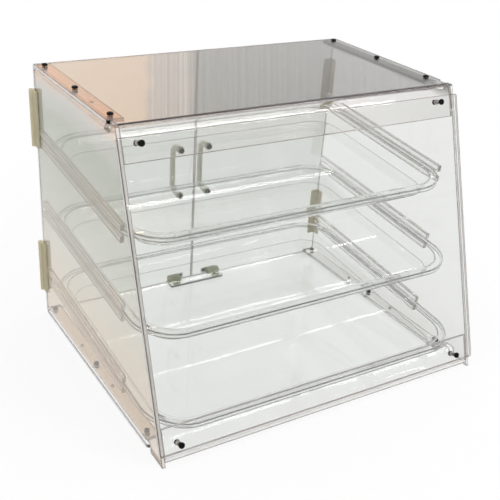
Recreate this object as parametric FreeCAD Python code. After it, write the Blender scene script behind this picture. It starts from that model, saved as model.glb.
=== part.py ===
import FreeCAD, Part
import math
import os

os.makedirs("parts", exist_ok=True)

# Countertop display bin of clear acrylic sheet: a slanted front, three sloped tray levels and two rear doors.
# Millimetres. +Z up, front towards -Y. The origin is the middle of the base panel's footprint, on the counter.

# Case
case_width = 533.4
case_depth = 431.8
case_height = 412.8
front_tilt = 18.5
sheet = 4.8
bend_radius = 3.2
panel_slip = 0.4
# Gap between faces that are screwed, cemented or rested on each other
seat_film = 0.05
cut_overrun = 5.0
match_tolerance = 1e-4
quarter_turn = 90.0

# Bent flanges and corner reliefs of the case panels: the flanges end at a relief, with an ear in front of it
side_flange = 25.4
top_ear_width = 13.7
bottom_ear_width = 35.8
relief_gap = 18.0
relief_corner = 5.0
ear_corner = 4.0
top_front_flange = 46.0
base_front_flange = 52.0

# Front panel
front_panel_overhang = 2.4
front_panel_bottom_margin = 16.0
front_panel_top_margin = 14.0
front_panel_corner = 3.0
front_screw_edge = 9.0
front_screw_inset = 31.0

# Fasteners
screw_radius = 2.0
screw_head_radius = 4.3
screw_head_height = 2.6
screw_head_crown = 0.9
screw_hole_clearance = 0.25
thread_clearance = 0.05
screw_tip = 1.5
nut_sides = 6
nut_across_flats = 7.0
nut_height = 3.2
spacer_radius = 3.3
spacer_height = 4.5
countersink_height = 2.2
side_screw_edge = 12.7
drive_recess_radius = 1.5
drive_recess_depth = 1.2

# Tray guides: two bars per side and level, one under the tray's rim and one over it
tray_slope = 5.25
tray_levels = 3
lower_tray_height = 70.0
upper_tray_drop = 112.8
guide_depth = 6.0
guide_height = 9.0
guide_slot = 8.2
guide_rear_gap = 4.0
guide_front_gap = 38.0
guide_round = 2.5

# Trays
tray_side_gap = 1.9
tray_rear_gap = 8.3
upper_tray_front_gap = 1.5
middle_tray_front_gap = 1.5
lower_tray_front_gap = 1.5
tray_wall = 2.6
tray_depth = 25.0
tray_rim_height = 7.0
tray_rim_width = 10.0
tray_wall_slant = 12.0
tray_corner = 60.0

# Doors
door_gap = 0.3
door_side_margin = 0.8
door_meeting_gap = 2.4
door_bottom_margin = 3.0
door_top_margin = 3.0
door_corner = 2.0

# Hinges
lower_hinge_height = 84.5
upper_hinge_drop = 81.8
hinge_height = 87.0
hinge_leaf = 2.4
hinge_leaf_width = 18.0
hinge_leaf_round = 2.0
hinge_pin_offset = 2.8
hinge_barrel_radius = 3.5
hinge_pin_radius = 1.2
hinge_pin_clearance = 0.05
knuckle_gap = 0.4
knuckle_count = 5

# Handles
handle_lift = -0.2
handle_centres = 81.6
handle_inset = 24.8
handle_reach = 28.0
handle_bar_radius = 4.6
handle_bend = 14.0
handle_foot_radius = 6.2
handle_foot_height = 3.0
handle_screw_depth = 9.0
handle_screw_head_radius = 4.4

# Magnetic catches on a bar inside the doors, and their strike plates
catch_bar_height = 3.2
catch_bar_margin = 1.5
catch_offset = 38.4
catch_width = 22.5
catch_depth = 10.0
catch_height = 9.5
catch_round = 1.5
catch_setback = 1.0
catch_foot_width = 14.0
catch_foot_depth = 10.0
catch_foot_height = 2.5
catch_screw_stop = 0.6
magnet_width = 16.0
magnet_depth = 7.0
magnet_height = 5.0
strike_height = 9.0
strike_thickness = 1.2
strike_screw_reach = 9.0
strike_outer_margin = 2.0
small_screw_radius = 1.3
small_head_radius = 2.6
small_head_height = 1.6
small_screw_depth = 4.0

# Places worked out from the sizes above
half_width = case_width / 2
rear_y = case_depth / 2
front_y = -case_depth / 2
outer_bend = bend_radius + sheet
inner_x = half_width - sheet
tilt = math.radians(front_tilt)
slope = math.radians(tray_slope)
slope_length = case_height / math.cos(tilt)
flange_seat = sheet + seat_film
flange_stack = flange_seat + sheet
tray_pitch = (case_height - upper_tray_drop - lower_tray_height) / (tray_levels - 1)
upper_tray_height = case_height - upper_tray_drop
upper_hinge_height = case_height - upper_hinge_drop
handle_height = case_height / 2 + handle_lift
arc_middle_share = 1 - math.sqrt(0.5)
screw_hole_radius = screw_radius + screw_hole_clearance
small_hole_radius = small_screw_radius + thread_clearance
x_axis = FreeCAD.Vector(1, 0, 0)
y_axis = FreeCAD.Vector(0, 1, 0)
z_axis = FreeCAD.Vector(0, 0, 1)
centre = FreeCAD.Vector(0, 0, 0)


def save(name, shape):
    """Write one sub-part."""
    shape.exportStep("parts/" + name + ".step")


def block(x_range, y_range, z_range):
    """Box between three pairs of limits."""
    low = FreeCAD.Vector(min(x_range), min(y_range), min(z_range))
    size = [max(pair) - min(pair) for pair in (x_range, y_range, z_range)]
    return Part.makeBox(size[0], size[1], size[2], low)


def rod(radius, start, end):
    """Cylinder from one point to another."""
    return Part.makeCylinder(radius, start.distanceToPoint(end), start, end - start)


def cone(radius_start, radius_end, start, end):
    """Truncated cone from one point to another."""
    return Part.makeCone(radius_start, radius_end, start.distanceToPoint(end), start, end - start)


def mirrored(shape):
    """The same piece on the other side of the case."""
    return shape.mirror(centre, x_axis)


def rounded(shape, radius, direction, places):
    """Round the straight edges along a direction that pass through the given places."""
    chosen = []
    for edge in shape.Edges:
        if not isinstance(edge.Curve, Part.Line):
            continue
        if edge.Curve.Direction.cross(direction).Length > match_tolerance:
            continue
        for place in places:
            offset = place - edge.Vertexes[0].Point
            if offset.cross(direction).Length < match_tolerance:
                chosen.append(edge)
                break
    return shape.makeFillet(radius, chosen)


def slope_y(height):
    """Where the slanted front plane, the flanges' outer face, lies at a height."""
    return front_y + height * math.tan(tilt)


def front_frame():
    """Placement whose Y runs up the slanted front and whose Z points out of it."""
    turn = FreeCAD.Rotation(x_axis, quarter_turn - front_tilt)
    return FreeCAD.Placement(FreeCAD.Vector(0, front_y, 0), turn)


def tray_frame(level):
    """Placement on a level's rest plane at the rear of the case, sloping down to the front."""
    rest = FreeCAD.Vector(0, rear_y, lower_tray_height + level * tray_pitch)
    return FreeCAD.Placement(rest, FreeCAD.Rotation(x_axis, tray_slope))


def placed(shape, frame):
    """Copy of a shape moved into a frame."""
    copy = shape.copy()
    copy.Placement = frame.multiply(copy.Placement)
    return copy


# Fasteners, drawn about the origin: the head sits on z = 0 and the shank points down

def pan_screw(length, radius=screw_radius, head_radius=screw_head_radius, head_height=screw_head_height):
    """Screw with a crowned head and a drive recess."""
    rim = head_height - screw_head_crown
    head = rod(head_radius, centre, z_axis * rim)
    crown = cone(head_radius, head_radius - screw_head_crown, z_axis * rim, z_axis * head_height)
    shank = rod(radius, z_axis * -length, centre)
    recess = rod(drive_recess_radius, z_axis * (head_height - drive_recess_depth), z_axis * (head_height + cut_overrun))
    return head.fuse([crown, shank]).removeSplitter().cut(recess)


def flat_screw(length):
    """Countersunk screw whose head ends flush at z = 0."""
    top = z_axis * -countersink_height
    head = cone(screw_radius, screw_head_radius, top, centre)
    shank = rod(screw_radius, z_axis * -length, top)
    recess = rod(drive_recess_radius, z_axis * -drive_recess_depth, z_axis * cut_overrun)
    return head.fuse(shank).removeSplitter().cut(recess)


def countersink():
    """Cutter for a flush head and its shank."""
    start = z_axis * -(countersink_height + screw_hole_clearance)
    seat = cone(screw_radius, screw_head_radius + screw_hole_clearance, start, centre)
    return seat.fuse(rod(screw_hole_radius, z_axis * -(sheet + cut_overrun), centre))


def hex_nut():
    """Nut with its seat on z = 0, reaching down."""
    corner = nut_across_flats / 2 / math.cos(math.pi / nut_sides)
    angles = [2 * math.pi * side / nut_sides for side in range(nut_sides + 1)]
    points = [FreeCAD.Vector(corner * math.cos(angle), corner * math.sin(angle), 0) for angle in angles]
    body = Part.Face(Part.makePolygon(points)).extrude(z_axis * -nut_height)
    bore = rod(screw_radius + thread_clearance, z_axis * -(nut_height + cut_overrun), z_axis * cut_overrun)
    return body.cut(bore)


def spacer():
    """Short tube with its seat on z = 0, reaching down."""
    end = z_axis * -spacer_height
    return rod(spacer_radius, end, centre).cut(rod(screw_hole_radius, end, centre))


def moved(shape, place):
    """Copy of a shape shifted by a vector."""
    copy = shape.copy()
    copy.translate(place)
    return copy


def upended(shape):
    """Copy of a shape turned to point up instead of down."""
    copy = shape.copy()
    copy.rotate(centre, x_axis, 2 * quarter_turn)
    return copy


def facing_front(shape):
    """Copy of a shape whose head points towards the front."""
    copy = shape.copy()
    copy.rotate(centre, x_axis, quarter_turn)
    return copy


# Side flanges, and screw places shared by the panels and the fasteners

top_flange_length = rear_y - slope_y(case_height) - top_ear_width - relief_gap
bottom_flange_length = case_depth - bottom_ear_width - relief_gap


def side_screw_rows(flange_length):
    """Distances from the rear edge of a side flange's three screws."""
    last = flange_length - side_screw_edge
    return [side_screw_edge, (side_screw_edge + last) / 2, last]


side_screw_x = half_width - side_screw_edge
top_screw_places = []
for distance in side_screw_rows(top_flange_length):
    for side in (-1, 1):
        top_screw_places.append(FreeCAD.Vector(side * side_screw_x, rear_y - distance, case_height))
bottom_screw_places = []
for distance in side_screw_rows(bottom_flange_length):
    for side in (-1, 1):
        bottom_screw_places.append(FreeCAD.Vector(side * side_screw_x, rear_y - distance, 0))

front_panel_half = half_width + front_panel_overhang
front_panel_low = front_panel_bottom_margin
front_panel_high = slope_length - front_panel_top_margin
front_screw_places = []
for up_slope in (front_panel_low + front_screw_edge, front_panel_high - front_screw_edge):
    for side in (-1, 1):
        front_screw_places.append(FreeCAD.Vector(side * (front_panel_half - front_screw_inset), up_slope, 0))


def front_holes():
    """Drills through the front panel and the flanges behind it."""
    drills = []
    for place in front_screw_places:
        drill = rod(screw_hole_radius, place - z_axis * (sheet + cut_overrun), place + z_axis * (sheet + cut_overrun))
        drills.append(placed(drill, front_frame()))
    return drills


# Top and base panels

def folded_panel(corner, flange_direction, flange_length):
    """Flat panel from the rear with one flange folded at the front, full case width.

    corner is where the outer faces would meet, in y and z, and flange_direction runs along the flange.
    """
    flat_direction = y_axis
    opening = flat_direction.getAngle(flange_direction)
    bisector = (flat_direction + flange_direction).normalize()
    reach = outer_bend / math.tan(opening / 2)
    bend_centre = corner + bisector * (outer_bend / math.sin(opening / 2))
    flat_tangent = corner + flat_direction * reach
    flange_tangent = corner + flange_direction * reach
    flat_inward = (bend_centre - flat_tangent).normalize() * sheet
    flange_inward = (bend_centre - flange_tangent).normalize() * sheet
    flat_end = FreeCAD.Vector(corner.x, rear_y, corner.z)
    flange_end = corner + flange_direction * flange_length
    edges = [
        Part.makeLine(flat_end, flat_tangent),
        Part.Arc(flat_tangent, bend_centre - bisector * outer_bend, flange_tangent).toShape(),
        Part.makeLine(flange_tangent, flange_end),
        Part.makeLine(flange_end, flange_end + flange_inward),
        Part.makeLine(flange_end + flange_inward, flange_tangent + flange_inward),
        Part.Arc(flange_tangent + flange_inward, bend_centre - bisector * bend_radius,
                 flat_tangent + flat_inward).toShape(),
        Part.makeLine(flat_tangent + flat_inward, flat_end + flat_inward),
        Part.makeLine(flat_end + flat_inward, flat_end),
    ]
    return Part.Face(Part.Wire(edges)).extrude(x_axis * case_width)


def corner_relieved(panel, flange_length):
    """Narrow a panel in front of the side flanges so that it passes between the side panels."""
    narrow = inner_x - panel_slip
    shoulder = rear_y - flange_length - relief_gap / 2
    reach = (-cut_overrun, case_height + cut_overrun)
    for side in (-1, 1):
        spare = block((side * narrow, side * (half_width + cut_overrun)), (front_y - cut_overrun, shoulder), reach)
        panel = panel.cut(spare)
    places = [FreeCAD.Vector(side * half_width, shoulder, 0) for side in (-1, 1)]
    return rounded(panel, relief_corner, z_axis, places)


def make_top_panel():
    corner = FreeCAD.Vector(-half_width, slope_y(case_height), case_height)
    down_slope = FreeCAD.Vector(0, -math.sin(tilt), -math.cos(tilt))
    panel = corner_relieved(folded_panel(corner, down_slope, top_front_flange), top_flange_length)
    drills = [rod(screw_hole_radius, place - z_axis * (sheet + cut_overrun), place + z_axis * cut_overrun)
              for place in top_screw_places]
    return panel.cut(drills + front_holes())


def make_base_panel():
    corner = FreeCAD.Vector(-half_width, front_y, 0)
    up_slope = FreeCAD.Vector(0, math.sin(tilt), math.cos(tilt))
    panel = corner_relieved(folded_panel(corner, up_slope, base_front_flange), bottom_flange_length)
    seats = [moved(upended(countersink()), place) for place in bottom_screw_places]
    catch_holes = [rod(small_hole_radius, place - z_axis * cut_overrun, place + z_axis * (sheet + cut_overrun))
                   for place in catch_screw_places()]
    return panel.cut(seats + catch_holes + front_holes())


# Side panels: a flat wall with a flange bent inwards along its top and bottom

def quarter_bend(flange_length, height, upper):
    """Bent stretch of sheet between the wall and a flange, on the right."""
    start = FreeCAD.Vector(half_width - outer_bend, rear_y, height)
    end = start - y_axis * flange_length
    ring = rod(outer_bend, start, end).cut(rod(bend_radius, start, end))
    beyond = height + outer_bend if upper else height - outer_bend
    quarter = block((start.x, half_width), (start.y, end.y), (height, beyond))
    return ring.common(quarter)


def make_right_side_panel():
    bottom_bend_height = flange_seat + outer_bend
    top_bend_height = case_height - flange_seat - outer_bend
    top_ear = rear_y - top_flange_length - relief_gap
    bottom_ear = rear_y - bottom_flange_length - relief_gap
    outline = [
        (rear_y, bottom_bend_height), (rear_y, top_bend_height), (top_ear, top_bend_height), (top_ear, case_height),
        (slope_y(case_height), case_height), (front_y, 0), (bottom_ear, 0), (bottom_ear, bottom_bend_height),
        (rear_y, bottom_bend_height),
    ]
    points = [FreeCAD.Vector(inner_x, y, z) for y, z in outline]
    wall = Part.Face(Part.makePolygon(points)).extrude(x_axis * sheet)
    wall = rounded(wall, ear_corner, x_axis, [points[3], points[4], points[6]])
    wall = rounded(wall, relief_corner, x_axis, [points[2], points[7]])
    flange_reach = (half_width - side_flange, half_width - outer_bend)
    top_flange = block(flange_reach, (rear_y, rear_y - top_flange_length),
                       (case_height - flange_stack, case_height - flange_seat))
    bottom_flange = block(flange_reach, (rear_y, rear_y - bottom_flange_length), (flange_seat, flange_stack))
    bends = [quarter_bend(top_flange_length, top_bend_height, True),
             quarter_bend(bottom_flange_length, bottom_bend_height, False)]
    panel = wall.fuse(bends + [top_flange, bottom_flange]).removeSplitter()
    drills = [rod(screw_hole_radius, place - z_axis * case_height, place + z_axis * case_height)
              for place in top_screw_places + bottom_screw_places if place.x > 0]
    flanges_only = block(flange_reach, (rear_y, front_y), (0, case_height))
    return panel.cut([drill.common(flanges_only) for drill in drills])


def make_front_panel():
    panel = block((-front_panel_half, front_panel_half), (front_panel_low, front_panel_high),
                  (seat_film, flange_seat))
    places = [FreeCAD.Vector(x, y, 0) for x in (-front_panel_half, front_panel_half)
              for y in (front_panel_low, front_panel_high)]
    panel = rounded(panel, front_panel_corner, z_axis, places)
    return placed(panel, front_frame()).cut(front_holes())


# Case fasteners

def make_case_fasteners():
    through = flange_stack + nut_height + screw_tip
    on_top = z_axis * seat_film
    nut_seat = z_axis * (flange_stack + seat_film)
    front_seat = z_axis * (flange_seat + seat_film)
    spacer_seat = z_axis * flange_seat
    front_nut_seat = spacer_seat + z_axis * (spacer_height + seat_film)
    fasteners = {
        "top_screws": [moved(pan_screw(through), place + on_top) for place in top_screw_places],
        "top_nuts": [moved(hex_nut(), place - nut_seat) for place in top_screw_places],
        "bottom_screws": [moved(upended(flat_screw(through)), place) for place in bottom_screw_places],
        "bottom_nuts": [moved(upended(hex_nut()), place + nut_seat) for place in bottom_screw_places],
        "front_screws": [placed(moved(pan_screw(through + spacer_height), place + front_seat), front_frame())
                         for place in front_screw_places],
        "front_spacers": [placed(moved(spacer(), place - spacer_seat), front_frame())
                          for place in front_screw_places],
        "front_nuts": [placed(moved(hex_nut(), place - front_nut_seat), front_frame())
                       for place in front_screw_places],
    }
    for name, pieces in fasteners.items():
        save(name, Part.makeCompound(pieces))


# Tray guides

def guide_length():
    """Length that leaves the front gap between the upper level's guides and the slanted front."""
    room = rear_y - slope_y(upper_tray_height) - guide_front_gap
    return room / (math.cos(slope) - math.sin(slope) * math.tan(tilt)) - guide_rear_gap


def make_right_guide(level, over_rim):
    """One bar on the right side panel, cut in the level's sloped frame."""
    bottom = guide_slot if over_rim else -guide_height
    rear_end = -guide_rear_gap
    front_end = rear_end - guide_length()
    wall_side = inner_x - seat_film
    bar = block((wall_side - guide_depth, wall_side), (front_end, rear_end), (bottom, bottom + guide_height))
    places = [FreeCAD.Vector(wall_side - guide_depth, y, 0) for y in (front_end, rear_end)]
    bar = rounded(bar, guide_round, z_axis, places)
    return placed(bar, tray_frame(level))


# Trays

def rounded_wire(half, rear, front, corner, height):
    """Rounded rectangle at a height, symmetric about the case's middle."""
    diagonal = corner * arc_middle_share
    edges = []
    corners = [(half, rear, -1, -1), (-half, rear, 1, -1), (-half, front, 1, 1), (half, front, -1, 1)]
    ends = []
    for x, y, inward_x, inward_y in corners:
        along_x = FreeCAD.Vector(x + inward_x * corner, y, height)
        along_y = FreeCAD.Vector(x, y + inward_y * corner, height)
        middle = FreeCAD.Vector(x + inward_x * diagonal, y + inward_y * diagonal, height)
        first, last = (along_y, along_x) if inward_x == inward_y else (along_x, along_y)
        ends.append((first, middle, last))
    for index, (first, middle, last) in enumerate(ends):
        edges.append(Part.Arc(first, middle, last).toShape())
        edges.append(Part.makeLine(last, ends[(index + 1) % 4][0]))
    return Part.Wire(edges)


def tray_length(level, front_gap):
    """Length that brings the rim's upper front edge to a gap from the slanted front plane."""
    rear_of_tray = rear_y - tray_rear_gap * math.cos(slope)
    rear_height = lower_tray_height + level * tray_pitch - tray_rear_gap * math.sin(slope)
    room = rear_of_tray - slope_y(rear_height) - front_gap / math.cos(tilt)
    lean = tray_rim_height * (math.sin(slope) + math.cos(slope) * math.tan(tilt))
    return (room - lean) / (math.cos(slope) - math.sin(slope) * math.tan(tilt))


def make_tray(level, front_gap):
    """Shallow tray with slanted walls and a turned-down rim, in its level's frame."""
    rim_half = inner_x - tray_side_gap
    rim_rear = -tray_rear_gap
    rim_front = rim_rear - tray_length(level, front_gap)
    floor = tray_rim_height - tray_depth

    def outline(inset, height):
        return rounded_wire(rim_half - inset, rim_rear - inset, rim_front + inset, tray_corner - inset, height)

    def prism(inset, low, high):
        return Part.Face(outline(inset, low)).extrude(z_axis * (high - low))

    def bowl(extra, low):
        foot = outline(tray_rim_width + tray_wall_slant + extra, low)
        mouth = outline(tray_rim_width + extra, tray_rim_height)
        return Part.makeLoft([foot, mouth], True, True)

    hollow = bowl(tray_wall, floor + tray_wall)
    rim = prism(0, 0, tray_rim_height).cut(prism(tray_wall, 0, tray_rim_height - tray_wall))
    tray = bowl(0, floor).fuse(rim).cut(hollow).removeSplitter()
    return placed(moved(tray, z_axis * seat_film), tray_frame(level))


# Doors

door_inner_y = rear_y + door_gap
door_outer_y = door_inner_y + sheet
handle_x = door_meeting_gap / 2 + handle_inset


def make_right_door():
    edge_x = half_width - door_side_margin
    meeting_x = door_meeting_gap / 2
    low = door_bottom_margin
    high = case_height - door_top_margin
    door = block((meeting_x, edge_x), (door_inner_y, door_outer_y), (low, high))
    places = [FreeCAD.Vector(x, door_inner_y, z) for x in (meeting_x, edge_x) for z in (low, high)]
    door = rounded(door, door_corner, y_axis, places)
    through = (y_axis * -cut_overrun, y_axis * (sheet + cut_overrun))
    drills = [rod(screw_hole_radius, place + through[0], place + through[1]) for place in handle_screw_places()]
    strike_hole = rod(small_hole_radius, strike_screw_place() - y_axis * cut_overrun,
                      strike_screw_place() + y_axis * (strike_thickness + small_screw_depth))
    return door.cut(drills + [strike_hole])


def handle_screw_places():
    """Where the handle screws enter the inner face of the right door."""
    return [FreeCAD.Vector(handle_x, door_inner_y, handle_height + side * handle_centres / 2) for side in (-1, 1)]


def make_right_handle():
    """Round bar bent into a bow, with a wider foot at each end."""
    low = FreeCAD.Vector(handle_x, door_outer_y + seat_film, handle_height - handle_centres / 2)
    high = low + z_axis * handle_centres
    out = y_axis * handle_reach
    turn = handle_bend * arc_middle_share
    edges = [
        Part.makeLine(low, low + out - y_axis * handle_bend),
        Part.Arc(low + out - y_axis * handle_bend, low + out + z_axis * turn - y_axis * turn,
                 low + out + z_axis * handle_bend).toShape(),
        Part.makeLine(low + out + z_axis * handle_bend, high + out - z_axis * handle_bend),
        Part.Arc(high + out - z_axis * handle_bend, high + out - z_axis * turn - y_axis * turn,
                 high + out - y_axis * handle_bend).toShape(),
        Part.makeLine(high + out - y_axis * handle_bend, high),
    ]
    section = Part.Wire(Part.makeCircle(handle_bar_radius, low, y_axis))
    bar = Part.Wire(edges).makePipeShell([section], True, False)
    feet = [rod(handle_foot_radius, end, end + y_axis * handle_foot_height) for end in (low, high)]
    sockets = [rod(screw_radius + thread_clearance, end - y_axis * cut_overrun, end + y_axis * handle_screw_depth)
               for end in (low, high)]
    return bar.fuse(feet).removeSplitter().cut(sockets)


def make_right_handle_screws():
    screw = facing_front(pan_screw(sheet + handle_screw_depth - screw_tip, head_radius=handle_screw_head_radius))
    return Part.makeCompound([moved(screw, place - y_axis * seat_film) for place in handle_screw_places()])


# Hinges: a leaf on the side panel's outer face, a leaf on the door's rear face, and a pin

hinge_x = half_width + hinge_pin_offset
hinge_y = door_outer_y + hinge_pin_offset


def knuckle_spans(low, odd):
    """Height limits of a leaf's knuckles, with half a gap at each inner end."""
    step = hinge_height / knuckle_count
    spans = []
    for index in range(knuckle_count):
        if index % 2 == odd:
            start = low + index * step + (knuckle_gap / 2 if index > 0 else 0)
            end = low + (index + 1) * step - (knuckle_gap / 2 if index < knuckle_count - 1 else 0)
            spans.append((start, end))
    return spans


def hinge_barrels(spans):
    """Round knuckles on the pin's line."""
    return [rod(hinge_barrel_radius, FreeCAD.Vector(hinge_x, hinge_y, start), FreeCAD.Vector(hinge_x, hinge_y, end))
            for start, end in spans]


def hinge_line(low, radius):
    """Cylinder along the whole hinge line."""
    start = FreeCAD.Vector(hinge_x, hinge_y, low)
    return rod(radius, start, start + z_axis * hinge_height)


def finished_leaf(plate, low, own, other, free_places, free_direction, corner):
    """Plate with its own knuckles, cut back from a corner round the other leaf's, and bored for the pin."""
    plate = rounded(plate, hinge_leaf_round, free_direction, free_places)
    swing = hinge_barrel_radius + knuckle_gap
    room = []
    for start, end in other:
        reach = (start - knuckle_gap, end + knuckle_gap)
        room.append(rod(swing, FreeCAD.Vector(hinge_x, hinge_y, reach[0]), FreeCAD.Vector(hinge_x, hinge_y, reach[1])))
        room.append(block((corner[0], hinge_x), (corner[1], hinge_y), reach))
    leaf = plate.cut(room).fuse(hinge_barrels(own)).removeSplitter()
    return leaf.cut(hinge_line(low, hinge_pin_radius + hinge_pin_clearance))


def make_right_hinge(middle_height):
    """Case leaf, door leaf and pin of one hinge."""
    low = middle_height - hinge_height / 2
    high = low + hinge_height
    case_spans = knuckle_spans(low, 0)
    door_spans = knuckle_spans(low, 1)
    case_end = hinge_y - hinge_leaf_width
    case_face = half_width + seat_film
    door_face = door_outer_y + seat_film
    case_plate = block((case_face, case_face + hinge_leaf), (case_end, hinge_y), (low, high))
    case_corners = [FreeCAD.Vector(case_face, case_end, z) for z in (low, high)]
    case_limit = (half_width, door_outer_y - knuckle_gap)
    case_leaf = finished_leaf(case_plate, low, case_spans, door_spans, case_corners, x_axis, case_limit)
    door_end = hinge_x - hinge_leaf_width
    door_plate = block((door_end, hinge_x), (door_face, door_face + hinge_leaf), (low, high))
    door_corners = [FreeCAD.Vector(door_end, door_face, z) for z in (low, high)]
    door_limit = (half_width - knuckle_gap, door_outer_y)
    door_leaf = finished_leaf(door_plate, low, door_spans, case_spans, door_corners, y_axis, door_limit)
    return case_leaf, door_leaf, hinge_line(low, hinge_pin_radius)


# Magnetic catches on a bar across the meeting line, and strike plates on the doors

strike_front_y = door_inner_y - strike_thickness
catch_rear_y = strike_front_y - catch_setback
catch_front_y = catch_rear_y - catch_depth
catch_foot_y = catch_front_y - catch_foot_depth
catch_bar_top = flange_seat + catch_bar_height
catch_seat = catch_bar_top + seat_film
catch_middle = catch_seat + catch_height / 2
catch_inner_x = catch_offset - catch_width / 2
catch_outer_x = catch_offset + catch_width / 2


def catch_screw_place():
    """Middle of the right catch's foot, on the base's underside."""
    return FreeCAD.Vector(catch_offset, (catch_front_y + catch_foot_y) / 2, 0)


def catch_screw_places():
    """The same place under both catches."""
    right = catch_screw_place()
    return [right, FreeCAD.Vector(-right.x, right.y, right.z)]


def make_catch_bar():
    """Clear bar on the base that carries both catches."""
    reach = (-catch_outer_x - catch_bar_margin, catch_outer_x + catch_bar_margin)
    front = catch_foot_y - catch_bar_margin
    bar = block(reach, (front, catch_rear_y), (flange_seat, catch_bar_top))
    bar = rounded(bar, catch_round, z_axis, [FreeCAD.Vector(x, y, 0) for x in reach for y in (front, catch_rear_y)])
    return bar.cut([rod(small_hole_radius, place, place + z_axis * catch_middle) for place in catch_screw_places()])


def magnet_block(front_y_limit):
    """Space of the right catch's magnet, from a front limit to its rear face."""
    reach = (catch_offset - magnet_width / 2, catch_offset + magnet_width / 2)
    height = (catch_middle - magnet_height / 2, catch_middle + magnet_height / 2)
    return block(reach, (front_y_limit, strike_front_y), height)


def make_right_catch():
    """Housing with a pocket for the magnet and a screwed foot."""
    reach = (catch_inner_x, catch_outer_x)
    top = catch_seat + catch_height
    body = block(reach, (catch_front_y, catch_rear_y), (catch_seat, top))
    body = rounded(body, catch_round, y_axis, [FreeCAD.Vector(x, catch_front_y, top) for x in reach])
    foot_reach = (catch_offset - catch_foot_width / 2, catch_offset + catch_foot_width / 2)
    foot = block(foot_reach, (catch_foot_y, catch_front_y), (catch_seat, catch_seat + catch_foot_height))
    foot = rounded(foot, catch_round, z_axis, [FreeCAD.Vector(x, catch_foot_y, 0) for x in foot_reach])
    pocket = magnet_block(strike_front_y - magnet_depth)
    drill = rod(small_hole_radius, catch_screw_place(), catch_screw_place() + z_axis * case_height)
    housing = body.fuse(foot).removeSplitter().cut([pocket, drill.common(foot)])
    return housing, pocket


def make_right_catch_screw():
    head_seat = catch_seat + catch_foot_height + seat_film
    screw = pan_screw(head_seat - catch_screw_stop, small_screw_radius, small_head_radius, small_head_height)
    return moved(screw, catch_screw_place() + z_axis * head_seat)


def strike_screw_place():
    """Where the strike's screw enters the front of the plate, on the right."""
    return FreeCAD.Vector(catch_inner_x - strike_screw_reach / 2, strike_front_y, catch_middle)


def make_right_strike():
    reach = (catch_inner_x - strike_screw_reach, catch_outer_x - strike_outer_margin)
    height = (catch_middle - strike_height / 2, catch_middle + strike_height / 2)
    plate = block(reach, (strike_front_y, door_inner_y - seat_film), height)
    corners = [FreeCAD.Vector(x, strike_front_y, z) for x in reach for z in height]
    plate = rounded(plate, catch_round, y_axis, corners)
    place = strike_screw_place()
    return plate.cut(rod(small_hole_radius, place - y_axis * cut_overrun, place + y_axis * cut_overrun))


def make_right_strike_screw():
    length = strike_thickness + small_screw_depth - thread_clearance
    screw = pan_screw(length, small_screw_radius, small_head_radius, small_head_height)
    return moved(facing_front(screw), strike_screw_place() - y_axis * seat_film)


# Write the pieces, the left ones as mirror images of the right ones

save("top_panel", make_top_panel())
save("base_panel", make_base_panel())
save("front_panel", make_front_panel())
save("catch_bar", make_catch_bar())
make_case_fasteners()

mirrored_pieces = {
    "side_panel": make_right_side_panel(),
    "door": make_right_door(),
    "door_handle": make_right_handle(),
    "handle_screws": make_right_handle_screws(),
    "catch_screw": make_right_catch_screw(),
    "strike_plate": make_right_strike(),
    "strike_screw": make_right_strike_screw(),
}
mirrored_pieces["catch_housing"], mirrored_pieces["catch_magnet"] = make_right_catch()
for level, level_name in enumerate(("lower", "middle", "upper")):
    mirrored_pieces[level_name + "_guide_under_rim"] = make_right_guide(level, False)
    mirrored_pieces[level_name + "_guide_over_rim"] = make_right_guide(level, True)
for hinge_name, middle_height in (("lower", lower_hinge_height), ("upper", upper_hinge_height)):
    case_leaf, door_leaf, pin = make_right_hinge(middle_height)
    mirrored_pieces[hinge_name + "_hinge_case_leaf"] = case_leaf
    mirrored_pieces[hinge_name + "_hinge_door_leaf"] = door_leaf
    mirrored_pieces[hinge_name + "_hinge_pin"] = pin
for name, piece in mirrored_pieces.items():
    save("right_" + name, piece)
    save("left_" + name, mirrored(piece))

front_gaps = (sheet + lower_tray_front_gap, middle_tray_front_gap, upper_tray_front_gap)
for level, level_name in enumerate(("lower", "middle", "upper")):
    save(level_name + "_tray", make_tray(level, front_gaps[level]))
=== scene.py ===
import math

import bpy
from mathutils import Matrix, Vector

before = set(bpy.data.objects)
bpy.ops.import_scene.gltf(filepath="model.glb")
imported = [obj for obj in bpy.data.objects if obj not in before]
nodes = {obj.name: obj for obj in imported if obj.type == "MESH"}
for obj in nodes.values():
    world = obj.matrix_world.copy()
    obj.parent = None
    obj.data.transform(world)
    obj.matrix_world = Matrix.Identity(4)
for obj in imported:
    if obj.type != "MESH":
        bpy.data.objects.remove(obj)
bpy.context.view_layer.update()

# Camera, from a fit to the photograph's corners: metres, degrees, a sensor in millimetres, and
# the focal length and shifts as shares of the sensor's width
camera_place = (-0.6484, -0.9838, 0.7474)
camera_heading = 32.739
camera_pitch = 28.020
camera_roll = 3.824
sensor_width = 36.0
focal_share = 1.7233
shift_across = 0.0016
shift_up = 0.0435
nearest_seen = 0.01
farthest_seen = 50.0

# Stage
floor_size = 7.0
floor_gap = 0.0006
floor_tones = ((0.84, 0.84, 0.83), (0.88, 0.88, 0.87))
floor_cloud_scale = 6.0
floor_near = 0.35
floor_far = 1.1
floor_near_white = 0.86
backdrop_white = (1.0, 1.0, 1.0, 1.0)
room_tint = (0.97, 0.98, 1.0)
room_level = 0.80

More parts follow.
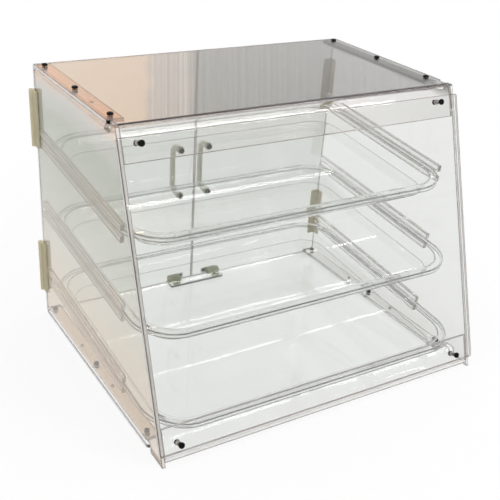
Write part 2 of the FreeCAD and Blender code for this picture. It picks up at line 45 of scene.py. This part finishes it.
# Lamps: name, place, point that it faces, width and height, watts
whole_object = (0, 0, 0.2)
lamps = [
    ("key", (-1.2, -1.6, 2.2), whole_object, (0.9, 0.5), 8),
    ("overhead", (-0.5, 0.5, 2.4), whole_object, (1.4, 0.10), 8),
    ("strip_front", (1.2, -1.2, 1.8), whole_object, (0.10, 1.4), 6),
    # Long and thin: the front flange and the trays' rear walls mirror these as white bands
    ("band_wide", (1.1, -2.15, 1.08), (1.1, 0, 0.3), (1.3, 0.05), 14),
    ("band_thin", (1.2, -2.15, 0.99), (1.2, 0, 0.3), (1.5, 0.015), 4.5),
    ("band_low", (1.0, -2.15, 0.72), (1.0, 0, 0.3), (1.0, 0.014), 1.6),
    ("line_rear_high", (0.6, 1.6, 1.90), (0.6, 0, 0.2), (3.4, 0.006), 1.2),
    ("line_rear_low", (0.6, 1.6, 1.62), (0.6, 0, 0.2), (3.4, 0.005), 0.9),
]

# Bounces: stacked sheets need many, and light runs a long way inside a sheet before it leaves
most_bounces = 96
transmission_bounces = 48
glossy_bounces = 80
transparent_bounces = 40

# Clear plastic. Two settings thin the veil that stacked panes put over dark parts: the top,
# trays and front have less than acrylic's index, and all but the front, trays and guides have
# a gloss tinted below white.
plastic_ior = 1.49
top_ior = 1.25
trays_ior = 1.27
front_ior = 1.15
thinned_gloss = 0.4
full_gloss = 1.0
waviness = 0.00012
wave_scale = 7.0
wave_detail = 2.0
smudge_scale = 22.0
smudge_detail = 5.0
smudge_noise = (0.35, 0.75)
smudge_roughness = 0.035
cloud_scale = 3.0
clouds_darkest = 0.985
clouds_lightest = 1.01
saw_cut_tint = (0.90, 0.88, 0.86)
saw_cut_frost = 0.6
saw_cut_facing = (0.965, 0.985)
corner_line = 0.0024
door_corner_line = 0.0017
corner_turn = (0.985, 0.86)
bevel_samples = 6

# Opaque plastic and metal
rough_noise = (0.3, 0.7)
moulded_detail = 4.0
grain_fineness = 20
brush_scale = 60.0
brush_detail = 4.0
brush_stretch = (1.0, 1.0, 12.0)
brush_depth = 0.00005

# Directions of faces: across the case, front to back, up, out of the front and up along it
across = (1.0, 0.0, 0.0)
along = (0.0, 1.0, 0.0)
upward = (0.0, 0.0, 1.0)
front = (0.0, -0.9483, 0.3173)
slope = (0.0, 0.3173, 0.9483)

# Painted shade: colours of the thin dark lines painted along the clear sheets' corners
brown_corner_shade = (0.14, 0.075, 0.06)
grey_corner_shade = (0.12, 0.12, 0.12)
tray_corner_shade = (0.05, 0.045, 0.045)
guide_corner_shade = (0.08, 0.04, 0.03)

# Top panel. The borders of its zones are straight lines that all run to one fixed point out in
# front of the case, so the stops are values of (x - fan_x) / (y - fan_y).
fan_x = -0.7234
fan_y = -1.1473
top_wander = (9.0, 0.02)
# Painted reflection: the top warm on the left and grey on the right
top_reflection_zones = [
    (0.34, (0.97, 0.76, 0.60)), (0.44, (0.93, 0.70, 0.54)), (0.462, (0.90, 0.68, 0.53)),
    (0.475, (0.62, 0.52, 0.455)), (0.515, (0.54, 0.47, 0.41)), (0.53, (0.43, 0.41, 0.38)),
    (0.60, (0.42, 0.405, 0.38)), (0.70, (0.39, 0.385, 0.37)), (0.90, (0.42, 0.42, 0.405)),
]
# Painted reflection: light warm streaks in the zone between
streaks_from = (0.462, 0.478)
streaks_to = (0.528, 0.518)
streak_scale = 170.0
streak_detail = 4.0
streak_noise = (0.4, 0.6)
reflection_streak_tint = (0.95, 0.86, 0.80)
streak_least = 0.07
streak_most = 0.5
# Painted highlight: the folded flange lighter on the left than on the right
top_flange_highlight_zones = [
    (-0.27, (0.98, 0.97, 0.96)), (0.0, (0.96, 0.94, 0.93)), (0.27, (0.86, 0.85, 0.84)),
]
top_flange_ends = (-0.0745, -0.0730)
# Painted shade: a dark line along the fold, darkest on the left
fold_line_from = (-0.0752, -0.0746)
fold_line_to = (-0.0688, -0.0694)
fold_line_above = (0.4092, 0.4100)
fold_shade_zones = [
    (-0.27, (0.002, 0.001, 0.001)), (-0.15, (0.01, 0.002, 0.002)), (0.27, (0.05, 0.03, 0.04)),
]

# Doors and sides: colours by height, which paint light and shade onto them, and the scale and reach
# of the noise that stirs them
door_wander = (5.0, 0.06)
side_wander = (7.0, 0.04)
door_shade_zones = [
    (0.0, (0.88, 0.89, 0.87)), (0.12, (0.85, 0.86, 0.84)), (0.17, (0.74, 0.75, 0.73)),
    (0.42, (0.71, 0.72, 0.70)),
]
# Painted light: the left side warm and the right side grey by height, though both are one clear
# plastic
left_painted_light_zones = [
    (0.0, (0.82, 0.73, 0.64)), (0.09, (0.77, 0.69, 0.59)), (0.19, (0.72, 0.71, 0.65)),
    (0.28, (0.64, 0.64, 0.58)), (0.355, (0.58, 0.60, 0.53)), (0.39, (0.73, 0.70, 0.67)),
    (0.415, (0.96, 0.70, 0.55)),
]
right_painted_light_zones = [
    (0.0, (0.80, 0.79, 0.77)), (0.05, (0.88, 0.88, 0.87)), (0.39, (0.90, 0.90, 0.89)),
    (0.402, (0.40, 0.40, 0.37)), (0.415, (0.33, 0.33, 0.30)),
]

# The cut inner edges of the side panels' flanges: their painted shade colours, and where the mask
# that darkens and frosts them lies
left_flange_edge_shade = (0.22, 0.09, 0.06)
right_flange_edge_shade = (0.16, 0.16, 0.14)
flange_inner_x = (0.255, 0.250)
flange_heights = (0.1, 0.3)
flange_edge_facing = (0.9, 0.98)
low_flange_share = 0.15


class Shader:
    """The nodes of a material or the world, with short calls for adding and joining them."""

    def __init__(self, owner):
        self.owner = owner
        owner.use_nodes = True
        self.tree = owner.node_tree
        self.tree.nodes.clear()

    def add(self, kind, inputs=None, **settings):
        new = self.tree.nodes.new("ShaderNode" + kind)
        for key, value in settings.items():
            setattr(new, key, value)
        for key, value in (inputs or {}).items():
            self.feed(new.inputs[key], value)
        return new

    def feed(self, socket, value):
        if isinstance(value, bpy.types.NodeSocket):
            self.tree.links.new(value, socket)
        else:
            socket.default_value = value

    def math(self, operation, first, second=0.0):
        return self.add("Math", {0: first, 1: second}, operation=operation).outputs[0]

    def place(self):
        """The surface point in the piece's frame."""
        return self.add("TexCoord").outputs["Object"]

    def axes(self):
        """The surface point's x, y and z in the piece's frame."""
        return self.add("SeparateXYZ", {"Vector": self.place()}).outputs

    def noise(self, scale, detail=3.0, stretch=(1.0, 1.0, 1.0)):
        mapping = self.add("Mapping", {"Vector": self.place(), "Scale": stretch})
        inputs = {"Vector": mapping.outputs[0], "Scale": scale, "Detail": detail}
        return self.add("TexNoise", inputs).outputs["Fac"]

    def wander(self, scale, reach):
        """A slow change around 0."""
        return self.math("MULTIPLY", self.math("SUBTRACT", self.noise(scale), 0.5), reach)

    def ranged(self, value, low, high, new_low=0.0, new_high=1.0):
        """The value, held within low to high and brought to the new range."""
        return self.add("MapRange", {0: value, 1: low, 2: high, 3: new_low, 4: new_high}).outputs[0]

    def between(self, value, rise, fall):
        """1 inside a band. Rise and fall are its two soft edges, each given from outside in."""
        return self.math("MULTIPLY", self.ranged(value, *rise), self.ranged(value, *fall))

    def ramp(self, value, stops):
        """A colour that follows a value through (value, colour) stops."""
        low = stops[0][0]
        span = stops[-1][0] - low
        new = self.add("ValToRGB", {0: self.ranged(value, low, low + span)})
        elements = new.color_ramp.elements
        while len(elements) < len(stops):
            elements.new(1.0)
        for element, (at, tone) in zip(elements, stops):
            element.position = (at - low) / span
            element.color = colour(*tone)
        return new.outputs[0]

    def mixed(self, share, first, second):
        """A mix of two colours, which a Mix node takes at inputs 6 and 7 and gives at output 2."""
        return self.add("Mix", {0: share, 6: first, 7: second}, data_type="RGBA").outputs[2]

    def dotted(self, first, second):
        new = self.add("VectorMath", {0: first, 1: second}, operation="DOT_PRODUCT")
        return new.outputs["Value"]

    def facing(self, direction):
        """How nearly the face points along or against a direction in the piece's frame: 0 to 1."""
        return self.math("ABSOLUTE", self.dotted(self.add("TexCoord").outputs["Normal"], direction))

    def rounded(self, radius):
        """The surface's direction with sharp corners eased by this radius."""
        return self.add("Bevel", {"Radius": radius}, samples=bevel_samples).outputs[0]

    def arris(self, rounded):
        """1 along sharp corners, 0 on open faces."""
        flat = self.add("NewGeometry").outputs["Normal"]
        return self.ranged(self.dotted(rounded, flat), *corner_turn)

    def bump(self, height, distance, strength=1.0, normal=None):
        new = self.add("Bump", {"Height": height, "Distance": distance, "Strength": strength})
        if normal:
            self.feed(new.inputs["Normal"], normal)
        return new.outputs["Normal"]

    def finish(self, shader, output="OutputMaterial"):
        out = self.add(output)
        self.tree.links.new(shader.outputs[0], out.inputs["Surface"])
        return self.owner


def colour(red, green, blue):
    return (red, green, blue, 1.0)


def material_shader(name):
    return Shader(bpy.data.materials.new(name))


def make_camera():
    data = bpy.data.cameras.new("camera")
    data.sensor_width = sensor_width
    data.lens = sensor_width * focal_share
    data.shift_x = shift_across
    data.shift_y = shift_up
    data.clip_start = nearest_seen
    data.clip_end = farthest_seen
    camera = bpy.data.objects.new("camera", data)
    heading = math.radians(camera_heading)
    pitch = math.radians(camera_pitch)
    roll = math.radians(camera_roll)
    ahead = (math.sin(heading) * math.cos(pitch), math.cos(heading) * math.cos(pitch))
    forward = Vector((*ahead, -math.sin(pitch)))
    level = Vector((math.cos(heading), -math.sin(heading), 0.0))
    upright = level.cross(forward)
    right = math.cos(roll) * level + math.sin(roll) * upright
    up = -math.sin(roll) * level + math.cos(roll) * upright
    turn = Matrix((right, up, -forward)).transposed()
    camera.matrix_world = Matrix.Translation(camera_place) @ turn.to_4x4()
    bpy.context.scene.collection.objects.link(camera)
    bpy.context.scene.camera = camera


def seen_rays(shader):
    """1 for rays from the camera, from gloss and through clear plastic."""
    path = shader.add("LightPath").outputs
    both = shader.math("MAXIMUM", path["Is Camera Ray"], path["Is Glossy Ray"])
    return shader.math("MAXIMUM", both, path["Is Transmission Ray"])


def make_world():
    """White where it is seen, and a plain room level where it lights the object."""
    world = bpy.data.worlds.new("world")
    bpy.context.scene.world = world
    shader = Shader(world)
    seen = shader.add("Background", {"Color": backdrop_white, "Strength": 1.0})
    room = shader.add("Background", {"Color": colour(*room_tint), "Strength": room_level})
    inputs = {0: seen_rays(shader), 1: room.outputs[0], 2: seen.outputs[0]}
    shader.finish(shader.add("MixShader", inputs), "OutputWorld")


def make_floor():
    """A floor seen as nearly white near the object and white further off, with the shadow kept."""
    mesh = bpy.data.meshes.new("floor")
    half = floor_size / 2
    corners = [(-half, -half), (half, -half), (half, half), (-half, half)]
    mesh.from_pydata([(x, y, -floor_gap) for x, y in corners], [], [(0, 1, 2, 3)])
    floor = bpy.data.objects.new("floor", mesh)
    bpy.context.scene.collection.objects.link(floor)
    shader = material_shader("pale_floor")
    distance = shader.add("VectorMath", {0: shader.place()}, operation="LENGTH").outputs["Value"]
    glow = shader.ranged(distance, floor_near, floor_far, floor_near_white, 1.0)
    glow = shader.math("MULTIPLY", glow, seen_rays(shader))
    darker, lighter = floor_tones
    tone = shader.mixed(shader.noise(floor_cloud_scale), colour(*darker), colour(*lighter))
    matte = shader.add("BsdfDiffuse", {"Color": tone})
    light = shader.add("Emission", {"Color": backdrop_white, "Strength": 1.0})
    inputs = {0: glow, 1: matte.outputs[0], 2: light.outputs[0]}
    mesh.materials.append(shader.finish(shader.add("MixShader", inputs)))


def make_lamps():
    for name, place, aim, size, watts in lamps:
        data = bpy.data.lights.new(name, "AREA")
        data.shape = "RECTANGLE"
        data.size, data.size_y = size
        data.energy = watts
        lamp = bpy.data.objects.new(name, data)
        lamp.location = place
        lamp.rotation_euler = (Vector(aim) - Vector(place)).to_track_quat("-Z", "Y").to_euler()
        bpy.context.scene.collection.objects.link(lamp)


def clouded(tint):
    """A face colour that varies a little from place to place."""
    def paint(shader):
        darker = colour(*[level * clouds_darkest for level in tint])
        lighter = colour(*[min(level * clouds_lightest, 1) for level in tint])
        return shader.mixed(shader.noise(cloud_scale), darker, lighter)
    return paint


def paint_top(shader):
    """A painted reflection on the top: warm on the left to grey on the right, with a streaked zone
    between.

    The folded flange is nearly clear and lighter on the left by a painted highlight, and a dark
    line of painted shade runs along its fold.
    """
    x, y, z = shader.axes()
    fan = shader.math("DIVIDE", shader.math("ADD", x, -fan_x), shader.math("ADD", y, -fan_y))
    flat = shader.ramp(shader.math("ADD", fan, shader.wander(*top_wander)), top_reflection_zones)
    lines = shader.add("CombineXYZ", {"X": fan}).outputs[0]
    inputs = {"Vector": lines, "Scale": streak_scale, "Detail": streak_detail}
    streak = shader.ranged(shader.add("TexNoise", inputs).outputs["Fac"], *streak_noise)
    share = shader.between(fan, streaks_from, streaks_to)
    share = shader.ranged(share, 0.0, 1.0, streak_least, streak_most)
    flat = shader.mixed(shader.math("MULTIPLY", streak, share), flat, colour(*reflection_streak_tint))
    flange = shader.ramp(x, top_flange_highlight_zones)
    face = shader.mixed(shader.ranged(y, *top_flange_ends), flange, flat)
    line = shader.between(y, fold_line_from, fold_line_to)
    line = shader.math("MULTIPLY", line, shader.ranged(z, *fold_line_above))
    return shader.mixed(line, face, shader.ramp(x, fold_shade_zones))


def paint_door(shader):
    """Greyer towards the top and lighter low down: painted light and shade."""
    height = shader.axes()["Z"]
    return shader.ramp(shader.math("ADD", height, shader.wander(*door_wander)), door_shade_zones)


def side_paint(stops, flange_edge_shade):
    """Colours by height, painted light and shade, with the cut inner edge of each flange darkened
    by painted shade.
    """
    def paint(shader):
        height = shader.axes()["Z"]
        wall = shader.ramp(shader.math("ADD", height, shader.wander(*side_wander)), stops)
        return shader.mixed(flange_edges(shader), wall, colour(*flange_edge_shade))
    return paint


def flange_edges(shader):
    """1 on the inner edges of the side panels' top flanges, and little on the bottom ones'."""
    x, _, height = shader.axes()
    inner = shader.ranged(shader.math("ABSOLUTE", x), *flange_inner_x)
    top_only = shader.ranged(height, *flange_heights, low_flange_share, 1.0)
    inner = shader.math("MULTIPLY", inner, top_only)
    inward = shader.ranged(shader.facing(across), *flange_edge_facing)
    return shader.math("MULTIPLY", inner, inward)


def clear_plastic(name, paint, corner_shade_tint, cut_directions=(), cut_tint=saw_cut_tint,
                  cut_frost=saw_cut_frost, gloss=thinned_gloss, frost=None,
                  line_width=corner_line, index=plastic_ior):
    """Clear sheet: a face colour, thin dark lines of painted shade along its corners and frosted
    saw-cut edges.

    The cut directions are those that the saw-cut faces point along.
    """
    shader = material_shader(name)
    base = paint(shader)
    see_through = 1.0
    if cut_directions:
        cut = 0.0
        for direction in cut_directions:
            faces = shader.ranged(shader.facing(direction), *saw_cut_facing)
            cut = shader.math("MAXIMUM", cut, faces)
        base = shader.mixed(cut, base, colour(*cut_tint))
        clouding = shader.math("MULTIPLY", cut, cut_frost)
        if frost:
            clouding = shader.math("MAXIMUM", clouding, frost(shader))
        see_through = shader.math("SUBTRACT", 1.0, clouding)
    rounded = shader.rounded(line_width)
    # Painted shade: the corners darkened into thin dark lines
    base = shader.mixed(shader.arris(rounded), base, colour(*corner_shade_tint))
    smudge = shader.noise(smudge_scale, smudge_detail)
    ripple = shader.noise(wave_scale, wave_detail)
    return shader.finish(shader.add("BsdfPrincipled", {
        "Base Color": base,
        "Roughness": shader.ranged(smudge, *smudge_noise, 0.0, smudge_roughness),
        "IOR": index,
        "Specular Tint": colour(gloss, gloss, gloss),
        "Transmission Weight": see_through,
        "Normal": shader.bump(ripple, waviness, 1.0, rounded),
    }))


def solid_plastic(name, dark, light, rough=(0.3, 0.45), scale=30.0, grain=0.00015, shine=0.5,
                  glow_through=0.0):
    """Opaque moulded plastic, or one that lets a share of the light behind it through."""
    shader = material_shader(name)
    cloud = shader.noise(scale, moulded_detail)
    fine = shader.noise(scale * grain_fineness)
    plastic = shader.add("BsdfPrincipled", {
        "Base Color": shader.mixed(cloud, colour(*dark), colour(*light)),
        "Roughness": shader.ranged(cloud, *rough_noise, *rough),
        "IOR": plastic_ior,
        "Specular IOR Level": shine,
        "Normal": shader.bump(fine, grain),
    })
    if glow_through:
        through = shader.add("BsdfTranslucent", {"Color": colour(*light)})
        inputs = {0: glow_through, 1: plastic.outputs[0], 2: through.outputs[0]}
        plastic = shader.add("MixShader", inputs)
    return shader.finish(plastic)


def metal(name, dark, light, rough=(0.25, 0.4)):
    shader = material_shader(name)
    brushed = shader.noise(brush_scale, brush_detail, brush_stretch)
    return shader.finish(shader.add("BsdfPrincipled", {
        "Base Color": shader.mixed(brushed, colour(*dark), colour(*light)),
        "Roughness": shader.ranged(brushed, *rough_noise, *rough),
        "Metallic": 1.0,
        "Normal": shader.bump(brushed, brush_depth),
    }))


def dress(node_names, material):
    for name in node_names:
        for slot in nodes[name].material_slots:
            slot.material = material


def pair(*names):
    return [side + name for side in ("left_", "right_") for name in names]


def dress_panels():
    cuts = [across, along, slope]
    dress(["top_panel"], clear_plastic("clear_top", paint_top, brown_corner_shade, cuts, index=top_ior))
    base_paint = clouded((0.98, 0.98, 0.975))
    dress(["base_panel"], clear_plastic("clear_base", base_paint, brown_corner_shade, cuts))
    front_paint = clouded((0.93, 0.94, 0.93))
    dress(["front_panel"], clear_plastic(
        "clear_front", front_paint, brown_corner_shade, [across, slope], gloss=full_gloss, index=front_ior))
    # Painted light: each side gets its own painted colours, flange edge shade and corner line
    # colour
    for side, zones, flange_edge_shade, corner_shade_tint in (
            ("left", left_painted_light_zones, left_flange_edge_shade, brown_corner_shade),
            ("right", right_painted_light_zones, right_flange_edge_shade, grey_corner_shade)):
        paint = side_paint(zones, flange_edge_shade)
        dress([side + "_side_panel"], clear_plastic(
            "clear_" + side + "_side", paint, corner_shade_tint, [along, front], frost=flange_edges))
    dress(pair("door"), clear_plastic(
        "clear_door", paint_door, brown_corner_shade, [across, upward], line_width=door_corner_line))


def dress_trays():
    """The trays and the guides that hold them."""
    # Painted reflection: the left guides tinted warm and the right ones grey, though they are alike
    for side, tint, corner_shade_tint in (
            ("left", (0.93, 0.885, 0.855), guide_corner_shade),
            ("right", (0.94, 0.93, 0.92), grey_corner_shade)):
        guides = [side + "_" + level + "_guide_" + place
                  for level in ("lower", "middle", "upper") for place in ("under_rim", "over_rim")]
        dress(guides, clear_plastic(
            "clear_guides_" + side, clouded(tint), corner_shade_tint, gloss=full_gloss))
    tray_paint = clouded((0.98, 0.985, 0.98))
    dress(["lower_tray", "middle_tray", "upper_tray"], clear_plastic(
        "clear_trays", tray_paint, tray_corner_shade, gloss=full_gloss, index=trays_ior))


def dress_door_fittings():
    """Hinges, handles, and the catches with their bar."""
    leaves = [level + "_hinge_" + part
              for level in ("lower", "upper") for part in ("case_leaf", "door_leaf")]
    dress(pair(*leaves), solid_plastic(
        "hinge_cream", (0.76, 0.70, 0.53), (0.86, 0.82, 0.67), glow_through=0.6))
    pin_steel = metal("pin_steel", (0.5, 0.5, 0.5), (0.66, 0.66, 0.66))
    dress(pair("lower_hinge_pin", "upper_hinge_pin"), pin_steel)
    dress(pair("door_handle"), solid_plastic(
        "handle_cream", (0.95, 0.94, 0.84), (0.99, 0.98, 0.91), (0.15, 0.25), glow_through=0.5))
    # Painted shade: the bar's saw-cut front edge is dark grey
    dress(["catch_bar"], clear_plastic(
        "clear_bar", clouded((0.95, 0.95, 0.94)), grey_corner_shade, [along], (0.30, 0.30, 0.31), 0.5))
    dress(pair("catch_housing"), solid_plastic(
        "catch_olive", (0.82, 0.84, 0.55), (0.92, 0.93, 0.68), glow_through=0.4))
    dress(pair("catch_magnet"), solid_plastic(
        "magnet_ferrite", (0.03, 0.03, 0.03), (0.06, 0.06, 0.06), (0.5, 0.7)))
    strike_steel = metal("strike_steel", (0.55, 0.56, 0.57), (0.70, 0.71, 0.72))
    dress(pair("strike_plate"), strike_steel)


def dress_fasteners():
    nylon = solid_plastic("spacer_nylon", (0.84, 0.83, 0.79), (0.92, 0.91, 0.88))
    dress(["front_spacers"], nylon)
    black = solid_plastic(
        "black_fasteners", (0.003, 0.003, 0.003), (0.010, 0.009, 0.009), (0.35, 0.5), 90.0,
        shine=0.05)
    case_fasteners = [level + kind
                      for level in ("top_", "bottom_", "front_") for kind in ("screws", "nuts")]
    dress(case_fasteners + pair("handle_screws", "catch_screw", "strike_screw"), black)


def set_light_paths():
    cycles = bpy.context.scene.cycles
    cycles.max_bounces = most_bounces
    cycles.transmission_bounces = transmission_bounces
    cycles.glossy_bounces = glossy_bounces
    cycles.transparent_max_bounces = transparent_bounces
    bpy.context.scene.view_settings.view_transform = "Standard"


make_camera()
make_world()
make_floor()
make_lamps()
dress_panels()
dress_trays()
dress_door_fittings()
dress_fasteners()
set_light_paths()
